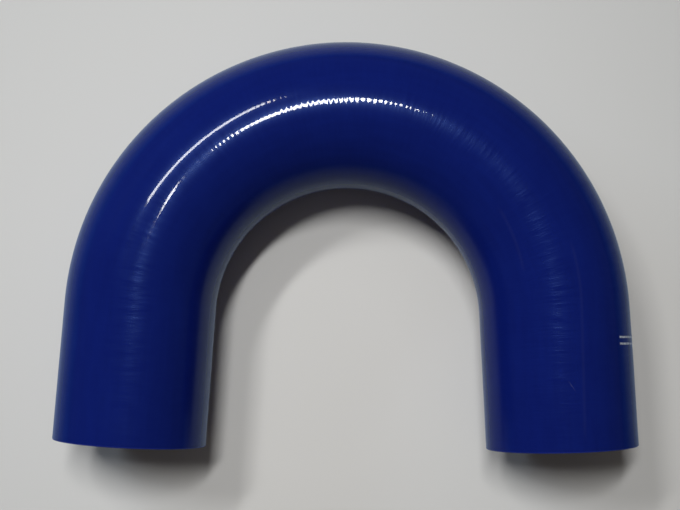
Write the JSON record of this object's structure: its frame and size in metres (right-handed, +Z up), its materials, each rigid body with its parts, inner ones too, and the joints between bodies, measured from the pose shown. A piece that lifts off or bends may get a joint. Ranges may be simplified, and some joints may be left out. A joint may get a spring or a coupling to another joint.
{
  "type": "silicone hose elbow",
  "caption": "Moulded silicone U-bend hose with a round bore and straight legs, which joins pipes that run side by side.",
  "frame": {"origin": "on the ground under the middle of the hose, halfway between the outsides of its legs and halfway from the crown of the bend to the cut ends", "axes": "+Z up out of the plane of the bend, +Y towards the crown of the bend, +X towards the right leg"},
  "size_m": [0.3332, 0.2371, 0.086],
  "materials": {
    "blue_silicone": "glossy royal blue cured silicone over woven plies, with faint ribs from the wrapping"
  },
  "bodies": {
    "root": {"hose_elbow": "blue_silicone"}
  },
  "joints": []
}
